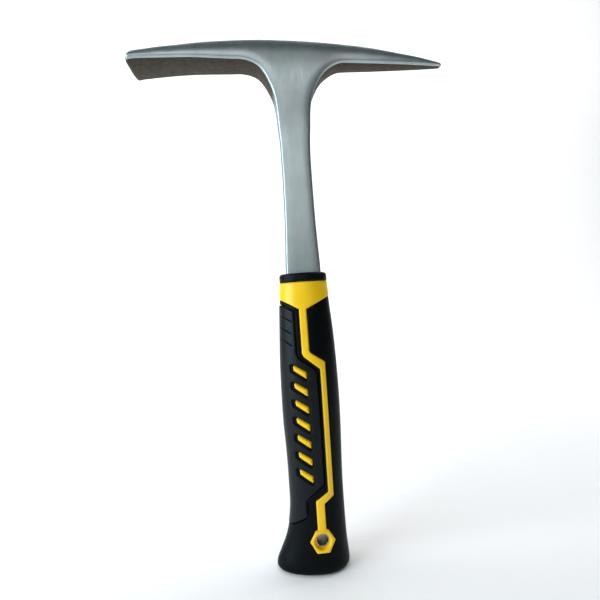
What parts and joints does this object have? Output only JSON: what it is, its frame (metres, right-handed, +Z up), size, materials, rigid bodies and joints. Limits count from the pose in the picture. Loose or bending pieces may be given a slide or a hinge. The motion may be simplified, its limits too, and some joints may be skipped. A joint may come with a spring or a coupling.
{
  "type": "rock hammer",
  "caption": "One-piece forged rock hammer with a chisel blade, a pick and a black and yellow moulded grip with a lanyard hole.",
  "frame": {"origin": "centre of the handle axis on the flat butt face", "axes": "+Z up the handle to the head, +X towards the pick, -X towards the chisel blade, Y through the thickness; the front face looks to -Y"},
  "size_m": [0.1821, 0.029, 0.3015],
  "materials": {
    "forged_steel": "satin",
    "yellow_plastic": "satin",
    "black_rubber": "matte",
    "tube_steel": "satin"
  },
  "bodies": {
    "root": {"forged_hammer": "forged_steel", "grip_core": "yellow_plastic", "rubber_sleeve": "black_rubber", "finger_pad": "black_rubber", "top_collar": "black_rubber", "lanyard_tube": "tube_steel"}
  },
  "joints": []
}
